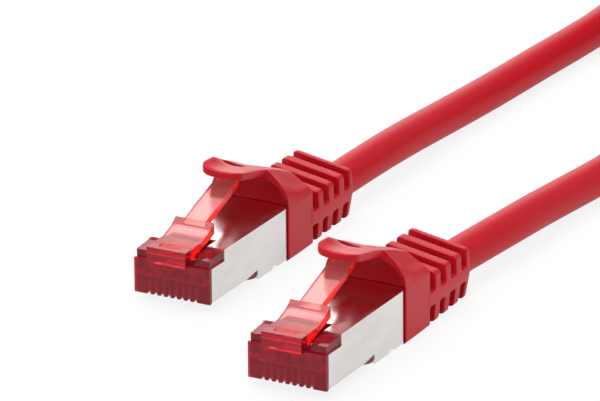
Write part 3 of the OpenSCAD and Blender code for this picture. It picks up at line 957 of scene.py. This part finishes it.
@dataclass
class PatchCord:
    """The round cord: a free run from each boot, and a stored coil between them."""

    diameter: float = 5.2
    surface_cut: float = 0.52
    coil_centre: tuple[float, float] = (10.9, 143.3)
    coil_entry: float = 205
    coil_leave: float = -25
    coil_diameter: float = 52
    coil_pitch: float = 5.7
    coil_turns: int = 3
    coil_layers: int = 4
    coil_rings: int = 24
    climb_turn: float = 180
    tie_angle: float = 45
    tie_lift: float = 0.75
    tie_hold: tuple[float, float] = (12, 30)
    settle_run: float = 30
    exit: Triple = (2.0, 40.68, 2.7)
    run_a: list[Triple] = field(
        default_factory=lambda: [
            (-12, 47, 3.6), (-12, 57, 3), (-12, 67, 2.4), (-11.5, 80, 2.08), (-10.8, 95, 2.08),
            (-10, 111, 2.08),
        ]
    )
    run_b: list[Triple] = field(
        default_factory=lambda: [
            (17, 27, 3.6), (17.3, 37, 3), (17.6, 47, 2.4), (18.1, 56, 2.08), (18.5, 64, 2.08),
            (19.2, 72, 2.08), (20.4, 80.5, 3.4), (22.1, 89, 6.7), (24.4, 98, 11.3), (27.2, 107, 15.6),
            (30.2, 115.5, 18.5),
        ]
    )

    @property
    def sweep(self) -> float:
        """The coil's whole turn, in degrees."""
        return self.coil_turns * 360 + self.coil_entry - self.coil_leave

    def radius(self, turned: float) -> float:
        """Works out the spiral's radius, which shrinks and grows from layer to layer.

        Args:
            turned: how far the coil has turned, in degrees.

        Returns:
            The radius in millimetres.
        """
        layer = self.sweep / self.coil_layers
        depth = self.coil_pitch * layer / 360
        return (self.coil_diameter + depth) / 2 - depth * (1 - abs((turned / layer) % 2 - 1))

    def coil_point(self, turned: float) -> Triple:
        """Works out a point of the coil's middle line.

        Args:
            turned: how far the coil has turned, in degrees.

        Returns:
            The point in millimetres.
        """
        radius = self.radius(turned)
        layer = self.sweep / self.coil_layers
        climbed = sum(
            eased((turned - k * layer) / self.climb_turn + 0.5) for k in range(1, self.coil_layers)
        )
        bearing = math.radians(self.coil_entry - turned)
        off_tie = abs((self.coil_entry - turned - self.tie_angle + 180) % 360 - 180)
        held, free = self.tie_hold
        return (
            self.coil_centre[0] + radius * math.cos(bearing),
            self.coil_centre[1] + radius * math.sin(bearing),
            self.diameter / 2 - self.surface_cut + self.coil_pitch * climbed
            + self.tie_lift * eased((free - off_tie) / (free - held)),
        )

    def heading(self, bearing: float) -> Vector:
        """Returns one diameter along the coil's line at a bearing, in millimetres."""
        b = math.radians(bearing)
        return Vector((math.sin(b), -math.cos(b), 0)) * self.diameter

    def line(self, frames: dict[End, PlugFrame]) -> list[Vector]:
        """Works out the cord's middle line.

        Args:
            frames: the plugs' frames.

        Returns:
            The points from the first boot to the second, in metres.
        """
        starts = {end: frames[end].at(*self.exit) / MM for end in End}
        step = Vector((0, self.diameter, 0))
        count = round(self.coil_rings * self.sweep / 360)
        coil = [self.coil_point(self.sweep * i / count) for i in range(count + 1)]
        coil_in = Vector(coil[0]) - self.heading(self.coil_entry)
        coil_out = Vector(coil[-1]) + self.heading(self.coil_leave)
        lead_a = [starts[End.A], starts[End.A] + step, *self.run_a, coil_in - self.heading(self.coil_entry)]
        lead_b = [starts[End.B], starts[End.B] + step, *self.run_b, coil_out + self.heading(self.coil_leave)]
        knots = [*lead_a, coil_in, *coil, coil_out, *lead_b[::-1]]
        points = [Vector(p) for p in spline([tuple(k) for k in knots], steps=2)]
        run = [0.0]
        for near, far in zip(points, points[1:]):
            run.append(run[-1] + (far - near).length)
        # The round cord lies on the surface, where the plain solid is cut flat
        return [
            (point + Vector((0, 0, self.surface_cut * eased(min(far, run[-1] - far) / self.settle_run)))) * MM
            for point, far in zip(points, run)
        ]

    def build(
        self, frames: dict[End, PlugFrame], finish: bpy.types.Material, tie: bpy.types.Object
    ) -> bpy.types.Object:
        """Args:
            frames: the plugs' frames.
            finish: the jacket's material.
            tie: the strap that holds the coil; not used.

        Returns:
            The cord's object.
        """
        points = self.line(frames)
        curve = bpy.data.curves.new("jacket", "CURVE")
        curve.dimensions = "3D"
        curve.bevel_depth = self.diameter / 2 * MM
        curve.bevel_resolution = 8
        strand = curve.splines.new("POLY")
        strand.points.add(len(points) - 1)
        for knot, point in zip(strand.points, points):
            knot.co = (*point, 1)
        strand.use_smooth = True
        cord = bpy.data.objects.new("cord_jacket", curve)
        bpy.context.scene.collection.objects.link(cord)
        cord.data.materials.append(finish)
        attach(cord, FIXED_BODY)
        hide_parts("cord_run_a", "cord_coil", "cord_run_b")
        return cord


@dataclass
class CoilTie:
    """The strap round the coil's bundle of turns, which laps over its own end."""

    cord: PatchCord
    width: float = 9.0
    thickness: float = 0.7
    slack: float = 0.15
    inner_slack: float = 0.4
    corner: float = 3.4
    lap: float = 0.24
    lap_start: float = 0.9
    lap_gap: float = 0.05
    tongue_rings: int = 4
    tongue_tip: float = 0.61
    tongue_step: float = 0.12
    edge_round: float = 0.2

    def outline(self) -> list[tuple[float, float]]:
        """Works out the strap's closed middle line.

        Returns:
            Its points as (radius, height), in millimetres.
        """
        cord = self.cord
        turns = [cord.coil_entry - cord.tie_angle + 360 * k for k in range(cord.coil_layers)]
        reach = cord.diameter / 2 + self.slack + self.thickness / 2
        near = min(cord.radius(turn) for turn in turns) - reach - self.inner_slack
        far = max(cord.radius(turn) for turn in turns) + reach
        low = self.thickness / 2
        high = cord.tie_lift + cord.diameter + (len(turns) - 1) * cord.coil_pitch + self.thickness / 2
        LOG.info("the strap holds %d turns", len(turns))
        return rounded([(near, high), (far, high), (far, low), (near, low)], self.corner, steps=8)

    def build(self, finish: bpy.types.Material) -> bpy.types.Object:
        """Makes the strap.

        Args:
            finish: the strap's material.

        Returns:
            The strap's object.
        """
        closed = spline(self.outline(), steps=2)
        path = closed + closed[1:round(len(closed) * self.lap)]
        turn = Matrix.Rotation(math.radians(self.cord.tie_angle), 4, "Z")
        rings = []
        for i, (radius, height) in enumerate(path):
            before, after = path[max(i - 1, 0)], path[min(i + 1, len(path) - 1)]
            along = Vector((after[0] - before[0], after[1] - before[1])).normalized()
            lapped = eased((i / len(closed) - self.lap_start) / (1 - self.lap_start))
            lifted = (self.thickness + self.lap_gap) * lapped
            left = len(path) - 1 - i
            taper = self.tongue_tip + self.tongue_step * left if left < self.tongue_rings else 1
            edge = self.width / 2 * taper
            section = [(-edge, -0.5), (edge, -0.5), (edge, 0.5), (-edge, 0.5)]
            ring = []
            for side, out in rounded(section, self.edge_round, steps=2):
                off = lifted + out * self.thickness
                ring.append(tuple(turn @ Vector((radius - along.y * off, side, height + along.x * off))))
            rings.append(ring)
        tie = loft("coil_strap", rings)
        place = Matrix.Translation(Vector((*self.cord.coil_centre, 0)) * MM) @ Matrix.Scale(MM, 4)
        tie.data.transform(place)
        shade_smooth(tie)
        tie.data.materials.append(finish)
        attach(tie, FIXED_BODY)
        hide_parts("coil_tie")
        return tie


# ---------------------------------------------------------------- boot and latch guard


@dataclass
class SoftBoot:
    """The soft boot with its slotted tail, and the latch guard that grows out of its crown."""

    # Sections of the body: y, near and far half width, top of the cheek, then x and z of the
    # flank, the shoulder and the crown's edge
    body_sections: tuple[tuple[float, ...], ...] = (
        (21.7, 6.1, 6.1, 6.6, 5.85, 8.4, 4.5, 10.25, 2.75, 11.7),
        (23.5, 6.08, 6.05, 6.6, 5.75, 8.05, 4.4, 9.5, 2.7, 11.15),
        (25.5, 6.05, 5.8, 6.6, 5.7, 7.7, 4.3, 8.75, 2.65, 10.4),
        (27.5, 6.0, 5.3, 6.6, 5.6, 7.4, 4.2, 8.25, 2.55, 9.6),
        (29.0, 5.95, 4.9, 6.5, 5.5, 7.2, 4.1, 8.0, 2.45, 9.05),
    )
    bottom: float = -1.1
    bottom_edge: float = 0.3
    crown_top: tuple[tuple[float, float], ...] = ((0.8, 0.12), (-1.0, 0.02))
    crown_drop: float = 0.3
    far_web: float = 1.0
    far_web_run: tuple[float, float] = (21.7, 24.5)

    # Sections of the hollow under the arm: y, half width, height of its floor and of its ceiling
    hollow_sections: tuple[tuple[float, ...], ...] = (
        (20.6, 6.0, 6.55, 11.0),
        (21.9, 5.95, 6.55, 10.75),
        (22.5, 5.4, 6.8, 10.45),
        (23.2, 4.6, 7.5, 10.2),
        (23.8, 3.6, 8.3, 9.95),
        (24.15, 2.3, 8.9, 9.6),
    )
    hollow_sag: float = 0.12
    hollow_wall: float = 0.1

    tail_rear: float = 40.68
    tail_lap: float = 0.4
    tail_half: tuple[float, float] = (4.8, 4.5)
    tail_top: tuple[float, float] = (6.75, 6.85)
    tail_middle: tuple[float, float] = (1.25, 1.45)
    tail_lean: tuple[float, float] = (0.25, 0.7)
    tail_tilt: float = 9.8
    tail_draft: float = 0.1
    tail_corner: float = 0.5
    slot_count: int = 4
    slot_width: float = 1.57
    slot_pitch: float = 3.07
    slot_depth: float = 1.2
    slot_depth_below: float = 0.72
    core_setback: float = 0.02
    band_middle: float = 2.6
    band_height: float = 2.0

    # Sections of the arm and pad: y, top at the near edge, in the middle and at the far edge, thickness
    arm_sections: tuple[tuple[float, ...], ...] = (
        (13.3, 13.7, 13.5, 14.0, 0.7),
        (13.45, 13.84, 13.66, 14.2, 1.0),
        (13.8, 13.82, 13.7, 14.35, 1.18),
        (14.6, 13.6, 13.6, 14.4, 1.2),
        (15.7, 13.32, 13.42, 14.4, 1.2),
        (17.1, 12.95, 13.2, 14.3, 1.18),
        (18.5, 12.55, 12.85, 13.7, 1.15),
        (19.9, 12.15, 12.45, 13.02, 1.15),
        (21.3, 11.8, 12.0, 12.4, 1.15),
        (22.7, 11.4, 11.5, 11.6, 1.2),
        (24.1, 10.95, 10.95, 10.6, 1.2),
        (25.5, 10.3, 10.3, 9.9, 1.2),
        (26.5, 9.8, 9.8, 9.4, 1.2),
    )
    arm_reach: tuple[float, float] = (3.05, 2.75)
    arm_waist: tuple[float, float] = (16.5, 20.0)
    arm_steps: int = 14
    pad_corner: float = 1.3
    edge_pinch: float = 0.1
    pinch_from: float = 0.86
    # Middle of the hole, x and y, half its straight run, and the radius of its ends
    hole: tuple[float, float, float, float] = (-0.85, 18.95, 0.6, 1.0)

    # Pocket for the shield: its front and back, bottom and top
    pocket: tuple[float, float, float, float] = (20.0, 23.0, -0.89, 6.66)
    pocket_half: float = 5.91
    # Bore for the cord: its middle, x and z, and its radius
    bore: Triple = (2.0, 2.7, 2.65)
    bore_front: float = 33.0
    bore_overrun: float = 1.0
    past_boot: float = 16.0
    voxel: float = 0.12
    smoothing: int = 2

    @property
    def body_rear(self) -> float:
        """Where the body ends and the tail's slots start."""
        return self.body_sections[-1][0]

    def body(self) -> bpy.types.Object:
        """Makes the body with the crown that rises to the guard's arm.

        Returns:
            The solid, in millimetres.
        """
        rings = []
        web_full, web_end = self.far_web_run
        edge = self.bottom_edge
        for section in spline(self.body_sections, steps=6):
            y, near, far, cheek, flank_x, flank_z, shoulder_x, shoulder_z, crown_x, crown_z = section
            lean = far / near
            web = self.far_web * eased((web_end - y) / (web_end - web_full))
            middle = (cheek + self.bottom) / 2
            near_side = [(near, cheek), (flank_x, flank_z), (shoulder_x, shoulder_z), (crown_x, crown_z)]
            far_side = [
                (-crown_x, crown_z - self.crown_drop + web / 2), (-shoulder_x * lean, shoulder_z + web),
                (-flank_x * lean, flank_z), (-far, cheek),
            ]
            outline = [
                (near - edge, self.bottom), (near, self.bottom + edge), (near, middle),
                *spline(near_side, steps=5), *((x, crown_z + rise) for x, rise in self.crown_top),
                *spline(far_side, steps=5), (-far, middle), (-far, self.bottom + edge),
                (-far + edge, self.bottom),
            ]
            rings.append([(x, y, z) for x, z in outline])
        return loft("boot_body", rings)

    def hollow(self) -> bpy.types.Object:
        """Makes the cutter of the arched hollow under the guard's arm.

        Returns:
            The cutter, in millimetres.
        """
        rings = []
        sides = 48
        for y, half, floor, ceiling in spline(self.hollow_sections, steps=4):
            ring = []
            for k in range(sides):
                turn = math.tau * k / sides
                low = math.sin(turn) < 0
                rise = (ceiling - floor) * (self.hollow_sag if low else 1)
                reach = min(half, self.pocket_half - self.hollow_wall) if low else half
                ring.append((reach * math.cos(turn), y, floor + rise * math.sin(turn)))
            rings.append(ring)
        return loft("hollow", rings)

    def tail_ring(self, share: float, y: float, inset: float) -> list[Triple]:
        """Works out one ring of the tail.

        Args:
            share: how far the ring lies along the tail, 0 to 1.
            y: the ring's place along the plug.
            inset: how far it lies inside the ribs.

        Returns:
            The ring's points, in millimetres.
        """
        half, top, middle, lean = (
            pair[0] + (pair[1] - pair[0]) * share
            for pair in (self.tail_half, self.tail_top, self.tail_middle, self.tail_lean)
        )
        half -= inset
        top -= inset
        floor = self.bottom + inset * self.slot_depth_below / self.slot_depth
        fall = half * math.tan(math.radians(self.tail_tilt))
        corners = [
            (half - lean, floor), (half, self.band_middle), (half - self.tail_draft, top - fall),
            (-half + self.tail_draft, top + fall), (-half, self.band_middle), (-half + lean, floor),
        ]
        return [(middle + x, y, z) for x, z in rounded(corners, self.tail_corner - inset / 5)]

    def tail(self, name: str, inset: float, overrun: float) -> bpy.types.Object:
        """Makes the tail's solid, or its core where an inset is given.

        Args:
            name: the object's name.
            inset: how far it lies inside the ribs.
            overrun: how far it passes the tail's end.

        Returns:
            The solid, in millimetres.
        """
        rings = [
            self.tail_ring(0, self.body_rear - self.tail_lap, inset),
            self.tail_ring(1, self.tail_rear + overrun, inset),
        ]
        return loft(name, rings)

    def slots(self) -> list[bpy.types.Object]:
        """Makes the cutters of the slots above and below the solid band.

        Returns:
            The cutters, in millimetres.
        """
        half = self.band_height / 2
        spans = ((self.band_middle + half, self.past_boot), (-self.past_boot, self.band_middle - half))
        cutters = []
        for k in range(self.slot_count):
            y = self.body_rear + k * self.slot_pitch
            for low, high in spans:
                start, stop = (-self.past_boot, y, low), (self.past_boot, y + self.slot_width, high)
                cutters.append(block("slot", start, stop))
        return cutters

    def ribbed_tail(self) -> bpy.types.Object:
        """Makes the tail with its slots cut down to the core.

        Returns:
            The solid, in millimetres.
        """
        tail = self.tail("tail", 0, 0)
        cut(tail, self.slots())
        cut(tail, [self.tail("core", self.slot_depth, -self.core_setback)], "UNION")
        return tail

    def arm(self) -> bpy.types.Object:
        """Sweeps the guard's arm from the pad's lip to the crown.

        Returns:
            The solid, in millimetres.
        """
        rings = []
        wide, waist = self.arm_reach
        waist_start, waist_end = self.arm_waist
        tip = self.arm_sections[0][0]
        for y, near, middle, far, thick in spline(self.arm_sections, steps=5):
            half = wide - (wide - waist) * eased((y - waist_start) / (waist_end - waist_start))
            short = max(0.0, tip + self.pad_corner - y) / self.pad_corner
            half -= self.pad_corner * (1 - math.sqrt(max(0.0, 1 - short * short)))
            upper, lower = [], []
            for k in range(self.arm_steps + 1):
                x = half * (1 - 2 * k / self.arm_steps)
                side = (x / wide) ** 2
                top = middle + ((near if x > 0 else far) - middle) * side
                pinch = self.edge_pinch * max(0.0, abs(x / half) - self.pinch_from) / (1 - self.pinch_from)
                upper.append((x, y, top - pinch))
                lower.append((x, y, top - thick + pinch))
            rings.append(upper + lower[::-1])
        return loft("guard_arm", rings)

    def guard_hole(self) -> bpy.types.Object:
        """Makes the cutter of the slot through the arm.

        Returns:
            The cutter, in millimetres.
        """
        middle, place, run, radius = self.hole
        outline = [
            (middle + run * side + radius * math.cos(a), place + radius * math.sin(a))
            for side, start in ((1, -90), (-1, 90))
            for a in (math.radians(start + 15 * k) for k in range(13))
        ]
        return loft("guard_hole", [[(x, y, z) for x, y in outline] for z in (0.0, self.past_boot)])

    def insides(self) -> list[bpy.types.Object]:
        """Makes the cutters of the shield's pocket and the cord's bore.

        Returns:
            The cutters, in millimetres.
        """
        front, back, low, high = self.pocket
        pocket = block("pocket", (-self.pocket_half, front, low), (self.pocket_half, back, high))
        x, z, radius = self.bore
        rear = self.tail_rear + self.bore_overrun
        bore = rod("bore", Vector((x, self.bore_front, z)), Vector((x, rear, z)), radius)
        return [pocket, bore]

    def build(self, frame: PlugFrame, finish: bpy.types.Material) -> bpy.types.Object:
        """Makes one boot with its guard.

        Args:
            frame: the plug's frame.
            finish: the boot's material.

        Returns:
            The boot's object, in metres in the row frame.
        """
        boot = self.body()
        cut(boot, [self.hollow()])
        arm = self.arm()
        cut(arm, [self.guard_hole()])
        melt(boot, [arm, self.ribbed_tail()], self.voxel, self.smoothing)
        cut(boot, self.insides())
        boot.name = f"boot_and_guard_{frame.end.value}"
        boot.data.transform(Matrix.Translation(frame.origin) @ Matrix.Scale(MM, 4))
        shade_smooth(boot)
        boot.data.materials.clear()
        boot.data.materials.append(finish)
        self.declare(boot, frame)
        LOG.info("%s: %d faces", boot.name, len(boot.data.polygons))
        return boot

    def declare(self, boot: bpy.types.Object, frame: PlugFrame) -> None:
        """Hides the CAD boot and guard that it replaces, and bakes its place into its mesh.

        Args:
            boot: the boot's object.
            frame: the plug's frame.
        """
        letter = frame.end.value
        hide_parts(f"boot_{letter}", f"latch_guard_{letter}")
        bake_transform(boot)


# ---------------------------------------------------------------- plugs


@dataclass
class PlugDress:
    """Gives each CAD node of a plug its material."""

    frame: dict
    finishes: dict[str, bpy.types.Material]

    def dress(self, node: str, finish: str) -> None:
        """Gives a node one finish.

        Args:
            node: the node's name.
            finish: the finish's name.
        """
        slots = self.frame["nodes"][node].data.materials
        slots.clear()
        slots.append(self.finishes[finish])

    def build(self, end: End) -> None:
        """Dresses every node of one plug.

        Args:
            end: which plug.
        """
        letter = end.value
        plain = {
            "plug_housing": "housing", "latch_tab": "latch", "shield_shell": "nickel",
            "crimp_band": "nickel", "wire_guide": "housing", "braid_sleeve": "braid",
            "jacket_end": "jacket",
        }
        for node, finish in plain.items():
            self.dress(f"{node}_{letter}", finish)
        for number, (pair, striped) in enumerate(WIRE_ORDER, start=1):
            self.dress(f"contact_{number}_{letter}", "gold")
            self.dress(f"wire_{number}_{letter}", f"{'white_' if striped else ''}{pair}")
        LOG.info("plug %s dressed", letter)


def build_finishes() -> dict[str, bpy.types.Material]:
    """Builds every material.

    Returns:
        The materials by the name that the pieces ask for.
    """
    finishes = {
        "pvc": RED_PVC, "jacket": RED_JACKET, "housing": CLEAR_HOUSING, "latch": CLEAR_LATCH,
        "nickel": NICKEL, "gold": GOLD, "braid": BRAID, "strap": STRAP,
    }
    for pair, colour in PAIR_COLOURS.items():
        finishes[pair] = Insulation(f"wire_{pair}", colour, colour)
        finishes[f"white_{pair}"] = Insulation(f"wire_white_{pair}", WHITE_INSULATION, colour)
    return {name: finish.build() for name, finish in finishes.items()}


# ---------------------------------------------------------------- studio


@dataclass(frozen=True)
class Studio:
    """A white room with one broad lamp overhead, soft light all round and a bright side for gloss."""

    floor_size: float = 6.0
    floor_colour: Colour = (0.9, 0.9, 0.9)
    floor_roughness: float = 0.9
    floor_glow: float = 0.85
    floor_sheen: float = 0.75
    room_level: float = 0.78
    sheen_level: Span = (0.4, 1.8)
    screen_way: Triple = (-0.75, 0.62, 0.22)
    screen_edge: Span = (0.72, 0.88)
    lamp_power: float = 9.0
    lamp_size: float = 1.2
    lamp_place: Triple = (-0.35, 0.1, 1.1)

    def build(self) -> None:
        """Makes the floor, the room light and the lamp."""
        self.room()
        self.floor()
        self.lamp()
        LOG.info("studio lit")

    def seen_rays(self, tree: bpy.types.NodeTree, path: bpy.types.Node) -> bpy.types.NodeSocket:
        """Returns a mask of the rays that the camera, gloss and clear pieces send.

        Args:
            tree: the tree that gets the nodes.
            path: the tree's Light Path node.

        Returns:
            The mask's output.
        """
        either = calculate(
            tree, "MAXIMUM", path.outputs["Is Camera Ray"], path.outputs["Is Glossy Ray"]
        )
        return calculate(tree, "MAXIMUM", either, path.outputs["Is Transmission Ray"])

    def room(self) -> None:
        """Lights the room evenly, and shows it white."""
        world = bpy.data.worlds.new("studio_room")
        bpy.context.scene.world = world
        world.use_nodes = True
        tree = world.node_tree
        path = tree.nodes.new("ShaderNodeLightPath")
        level = remap(tree, self.seen_rays(tree, path), levels=(self.room_level, 1.0))
        gloss = tree.nodes.new("ShaderNodeMix")
        gloss.data_type = "FLOAT"
        tree.links.new(path.outputs["Is Glossy Ray"], gloss.inputs["Factor"])
        tree.links.new(level.outputs["Result"], gloss.inputs["A"])
        tree.links.new(self.bright_side(tree), gloss.inputs["B"])
        backdrop = tree.nodes["Background"]
        set_values(backdrop, Color=(1, 1, 1, 1))
        tree.links.new(gloss.outputs["Result"], backdrop.inputs["Strength"])

    def bright_side(self, tree: bpy.types.NodeTree) -> bpy.types.NodeSocket:
        """Returns the room's brightness for gloss: a broad bright screen on one side.

        Args:
            tree: the world's tree.

        Returns:
            The brightness output.
        """
        place = tree.nodes.new("ShaderNodeTexCoord")
        toward = tree.nodes.new("ShaderNodeVectorMath")
        toward.operation = "DOT_PRODUCT"
        toward.inputs[1].default_value = self.screen_way
        tree.links.new(place.outputs["Generated"], toward.inputs[0])
        screen = remap(tree, toward.outputs["Value"], self.screen_edge, self.sheen_level)
        screen.interpolation_type = "SMOOTHSTEP"
        return screen.outputs["Result"]

    def floor(self) -> None:
        """Lays the pale floor, which shows white and keeps a faint shadow."""
        half = self.floor_size / 2
        mesh = bmesh.new()
        corners = [(-half, -half), (half, -half), (half, half), (-half, half)]
        mesh.faces.new([mesh.verts.new((x, y, 0)) for x, y in corners])
        floor = finish_mesh("studio_floor", mesh)
        material, shader = new_material("studio_floor")
        set_values(shader, Base_Color=(*self.floor_colour, 1), Roughness=self.floor_roughness)
        tree = material.node_tree
        path = tree.nodes.new("ShaderNodeLightPath")
        glow = tree.nodes.new("ShaderNodeEmission")
        shade = remap(tree, path.outputs["Is Glossy Ray"], levels=(1.0, self.floor_sheen))
        tree.links.new(shade.outputs["Result"], glow.inputs["Strength"])
        share = remap(tree, self.seen_rays(tree, path), levels=(0.0, self.floor_glow))
        blend = tree.nodes.new("ShaderNodeMixShader")
        tree.links.new(share.outputs["Result"], blend.inputs["Fac"])
        tree.links.new(shader.outputs["BSDF"], blend.inputs[1])
        tree.links.new(glow.outputs["Emission"], blend.inputs[2])
        tree.links.new(blend.outputs["Shader"], tree.nodes["Material Output"].inputs["Surface"])
        floor.data.materials.append(material)

    def lamp(self) -> None:
        """Hangs the broad lamp over the plugs."""
        data = bpy.data.lights.new("overhead_lamp", "AREA")
        data.energy = self.lamp_power
        data.shape = "DISK"
        data.size = self.lamp_size
        lamp = bpy.data.objects.new("overhead_lamp", data)
        lamp.location = self.lamp_place
        aim = Vector((0, 0, 0)) - Vector(self.lamp_place)
        lamp.rotation_euler = aim.to_track_quat("-Z", "Y").to_euler()
        bpy.context.scene.collection.objects.link(lamp)


# ---------------------------------------------------------------- scene


def main() -> None:
    """Builds the whole scene."""
    logging.basicConfig(level=logging.INFO, format="%(name)s: %(message)s")
    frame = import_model()
    bpy.context.scene.view_settings.view_transform = "Standard"
    frames = {end: PlugFrame.of(end, frame["record"]) for end in End}
    Shot().build(frames[End.A].origin)
    finishes = build_finishes()
    cord = PatchCord()
    cord.build(frames, finishes["jacket"], CoilTie(cord).build(finishes["strap"]))
    boot = SoftBoot()
    dress = PlugDress(frame, finishes)
    for end in End:
        boot.build(frames[end], finishes["pvc"])
        dress.build(end)
    Studio().build()


if __name__ == "__main__":
    main()
